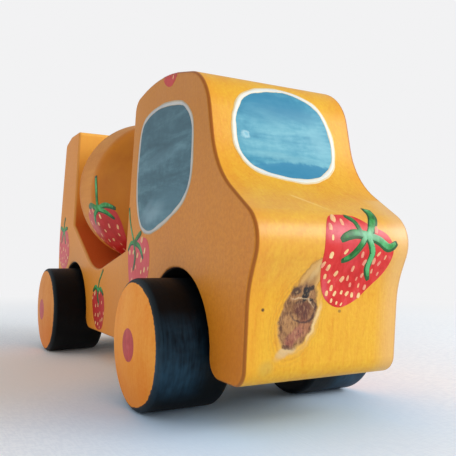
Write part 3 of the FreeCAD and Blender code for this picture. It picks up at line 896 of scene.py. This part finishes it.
DRUM_BERRY = (
    [(-9, 6.5), (-3, 8.6), (4, 8.2), (11, 6.4), (15.5, 3.8), (16, -1), (13.5, -6.5), (9, -12), (3, -17.2),
     (-2.5, -19), (-8, -16), (-11.5, -10), (-12.8, -4), (-12, 2)],
    [([(4.4, 7.4), (5.6, 12), (6.2, 16), (6, 20)], 1.7),
     ([(4.4, 7.6), (0, 9.6), (-4.8, 9.2)], 2.6),
     ([(4.4, 7.6), (10, 7.8), (16, 5)], 2.3),
     ([(4.4, 7.4), (9, 5), (13, 1.2)], 2.3),
     ([(4.2, 7.4), (0.6, 5.6), (-3, 1.4)], 2.2)])


def drum_side(across):
    """The view of the drum from below and one side; across is -1 for the right and 1 for the left."""
    toward = Vector((-0.25, -0.82 * across, 0.51)).normalized()
    right = Vector((1, 0, 0)) - toward * toward.x
    right.normalize()
    up = right.cross(toward)
    return Side("drum", DRUM_CENTRE, right, up if up.z > 0 else -up, toward)


def moved(shape, ahead, up, size=1, about=(0, 0)):
    """A strawberry's shape resized about a point and then shifted."""
    def place(points):
        return [(about[0] + (u - about[0]) * size + ahead, about[1] + (v - about[1]) * size + up)
                for u, v in points]
    outline, leaves = shape
    return place(outline), [(place(points), width) for points, width in leaves]


def paint_truck():
    window("windscreen", FRONT, WINDSCREEN, 1.6, WINDSCREEN_BLUE, OUTLINE_CREAM, OUTLINE_WHITE)
    for name, side in (("window_right", RIGHT_SIDE), ("window_left", LEFT_SIDE)):
        window(name, side, SIDE_WINDOW, 1.45, SIDE_BLUE, SIDE_OUTLINE_CREAM, SIDE_OUTLINE_WHITE)
    strawberry("berry_front", FRONT, "truck", FRONT_RED, FRONT_BERRY, (1.8, 1.5, 5))
    strawberry("berry_window_right", RIGHT_SIDE, "truck", BERRY_PINK, WINDOW_BERRY, (3, 1.7, 6))
    strawberry("berry_low_right", RIGHT_SIDE, "truck", BERRY_DEEP, LOW_BERRY, (2.7, 1.5, 7))
    strawberry("berry_post_right", RIGHT_SIDE, "truck", BERRY_PINK, POST_BERRY, (2.9, 1.6, 8))
    strawberry("berry_roof", ROOF_EDGE, "truck", BERRY_DEEP, moved(ROOF_BERRY, 0, 0.8, 1.12), (4.5, 1, 9))
    strawberry("berry_drum_right", drum_side(-1), "drum", BERRY_DEEP, DRUM_BERRY, (3.2, 1.8, 10))
    # The left side isn't the right one's twin: the same fruit sits a little differently there.
    strawberry("berry_window_left", LEFT_SIDE, "truck", BERRY_PINK, moved(WINDOW_BERRY, 3.5, -1),
               (3, 1.7, 11))
    strawberry("berry_low_left", LEFT_SIDE, "truck", BERRY_DEEP, moved(LOW_BERRY, 9, 3), (2.7, 1.5, 12))
    strawberry("berry_post_left", LEFT_SIDE, "truck", BERRY_PINK,
               moved(POST_BERRY, 5, 22, 0.9, about=(-149, 50)), (2.8, 1.5, 13))
    strawberry("berry_drum_left", drum_side(1), "drum", BERRY_DEEP, moved(DRUM_BERRY, -2, 12, 0.9),
               (3.2, 1.7, 14))


def dress_nodes():
    """Gives every CAD node its finish."""
    finishes = {"body": body_material(), "drum": drum_material(), "drum_spindle": spindle_material()}
    for node in ("front_axle", "rear_axle"):
        finishes[node] = axle_material(node)
    front = ((252, 168, 68), (242, 138, 30))
    # Painted shade: the rear wheels' stain is darker and duller than the front's.
    rear = ((232, 156, 80), (220, 130, 46))
    for node, blue_sheen_at, stains in (("wheel_front_right", -8, front), ("wheel_front_left", -45, front),
                                  ("wheel_rear_right", -140, rear), ("wheel_rear_left", 100, rear)):
        finishes[node] = wheel_material(node, middle(node), blue_sheen_at, *stains)
    for node, material in finishes.items():
        frame["nodes"][node].material_slots[0].material = material


# Studio

BACKGROUND = colour(242, 242, 243)
ROOM_LIGHT = (0.84, 0.92, 1, 1)
LAMP_WHITE = (1, 0.985, 0.96)


def floor_material():
    """Pale cloth near the truck that fades into a plain white ground further off."""
    mat = Shader("pale_cloth")
    x, y, _ = mat.axes(mat.place)
    warp = mat.noise(mat.mapped(mat.place, (1, 0.2, 1)), 1300, 1)
    weft = mat.noise(mat.mapped(mat.place, (0.2, 1, 1)), 1300, 1)
    cloth = mat.sum(mat.times(warp, 0.5), mat.times(weft, 0.5))
    cloud = mat.noise(mat.place, 9, 2)
    tone = mat.sum(mat.times(cloud, 0.8), mat.times(cloth, 0.25))
    threads = mat.times(mat.fade(cloth, 0.56, 0.44), 0.35)
    base = mat.ramp(tone, (0.35, (250, 250, 250)), (0.7, (255, 255, 255)))
    base = mat.tint(base, (228, 230, 236), threads)
    # Painted shade and light on the cloth: a bluish shade under the cab, and warm light by the truck's right
    # side.
    painted_blue_shade = mat.fade(mat.length(mat.sum(x, -0.07), mat.sum(y, 0.005)), 0.09, 0.02)
    base = mat.tint(base, (208, 232, 255), painted_blue_shade)
    painted_warm_light = mat.fade(mat.length(mat.sum(x, 0.02), mat.sum(y, 0.075)), 0.09, 0.02)
    base = mat.tint(base, (255, 243, 230), painted_warm_light, 0.9)
    bump = mat.add("Bump", {"Strength": 0.6, "Distance": 0.12 * MM, "Height": cloth})
    near = mat.add("BsdfPrincipled", {"Base Color": base, "Roughness": 0.9, "Normal": bump.outputs[0]})
    far = mat.add("Emission", {"Color": BACKGROUND})
    away = mat.fade(mat.length(x, y), 0.13, 0.48)
    both = mat.add("MixShader", {0: away, 1: near.outputs[0], 2: far.outputs[0]})
    mat.add("OutputMaterial", {0: both.outputs[0]})
    return mat.material


def make_floor():
    mesh = bpy.data.meshes.new("floor")
    reach = 6
    mesh.from_pydata([(-reach, -reach, 0), (reach, -reach, 0), (reach, reach, 0), (-reach, reach, 0)],
                     [], [(0, 1, 2, 3)])
    mesh.materials.append(floor_material())
    floor = bpy.data.objects.new("floor", mesh)
    bpy.context.scene.collection.objects.link(floor)


def softbox(name, azimuth, elevation, distance, size, power, tint):
    """A lamp that faces the truck, size wide and high. Azimuth 0 stands ahead of it, 90 on its left."""
    a = math.radians(azimuth)
    e = math.radians(elevation)
    target = Vector((0.02, 0, 0.05))
    out = Vector((math.cos(a) * math.cos(e), math.sin(a) * math.cos(e), math.sin(e)))
    lamp = bpy.data.lights.new(name, "AREA")
    lamp.shape = "RECTANGLE"
    lamp.size, lamp.size_y = size
    lamp.energy = power
    lamp.color = tint
    holder = bpy.data.objects.new(name, lamp)
    holder.location = target + out * distance
    holder.rotation_mode = "QUATERNION"
    holder.rotation_quaternion = (-out).to_track_quat("-Z", "Y")
    bpy.context.scene.collection.objects.link(holder)


def light_studio():
    softbox("key", 62, 16, 1, (0.70, 0.70), 5.8, LAMP_WHITE)
    softbox("sheen", 38, 26, 1, (0.45, 0.50), 3.4, LAMP_WHITE)
    softbox("fill", -125, 12, 0.8, (0.60, 0.60), 1.25, (1, 0.92, 0.82))
    world = bpy.data.worlds.new("white_room")
    world.use_nodes = True
    tree = world.node_tree
    tree.nodes.clear()
    seen = tree.nodes.new("ShaderNodeBackground")
    seen.inputs[0].default_value = BACKGROUND
    lit = tree.nodes.new("ShaderNodeBackground")
    lit.inputs[0].default_value = ROOM_LIGHT
    lit.inputs[1].default_value = 0.60
    path = tree.nodes.new("ShaderNodeLightPath")
    choose = tree.nodes.new("ShaderNodeMixShader")
    output = tree.nodes.new("ShaderNodeOutputWorld")
    tree.links.new(path.outputs["Is Camera Ray"], choose.inputs[0])
    tree.links.new(lit.outputs[0], choose.inputs[1])
    tree.links.new(seen.outputs[0], choose.inputs[2])
    tree.links.new(choose.outputs[0], output.inputs[0])
    bpy.context.scene.world = world
    bpy.context.scene.view_settings.view_transform = "Standard"


def make_camera():
    """Low in front of the truck's right corner, looking a little up, with a slight tilt of the horizon."""
    yaw = math.radians(61.21)
    rise = math.radians(2.73)
    roll = math.radians(0.55)
    eye = Vector((FRONT_AXLE.x + 169.5 * MM, -100.4 * MM, 47 * MM))
    forward = Vector((-math.sin(yaw) * math.cos(rise), math.cos(yaw) * math.cos(rise), math.sin(rise)))
    level_right = forward.cross(Vector((0, 0, 1))).normalized()
    level_up = level_right.cross(forward)
    right = level_right * math.cos(roll) + level_up * math.sin(roll)
    up = level_up * math.cos(roll) - level_right * math.sin(roll)
    camera = bpy.data.cameras.new("camera")
    camera.sensor_width = 36
    camera.lens = 46.21
    camera.clip_start = 0.005
    holder = bpy.data.objects.new("camera", camera)
    turn = Matrix((right, up, -forward)).transposed()
    holder.matrix_world = Matrix.Translation(eye) @ turn.to_4x4()
    bpy.context.scene.collection.objects.link(holder)
    bpy.context.scene.camera = holder


dress_nodes()
paint_truck()
make_floor()
light_studio()
make_camera()
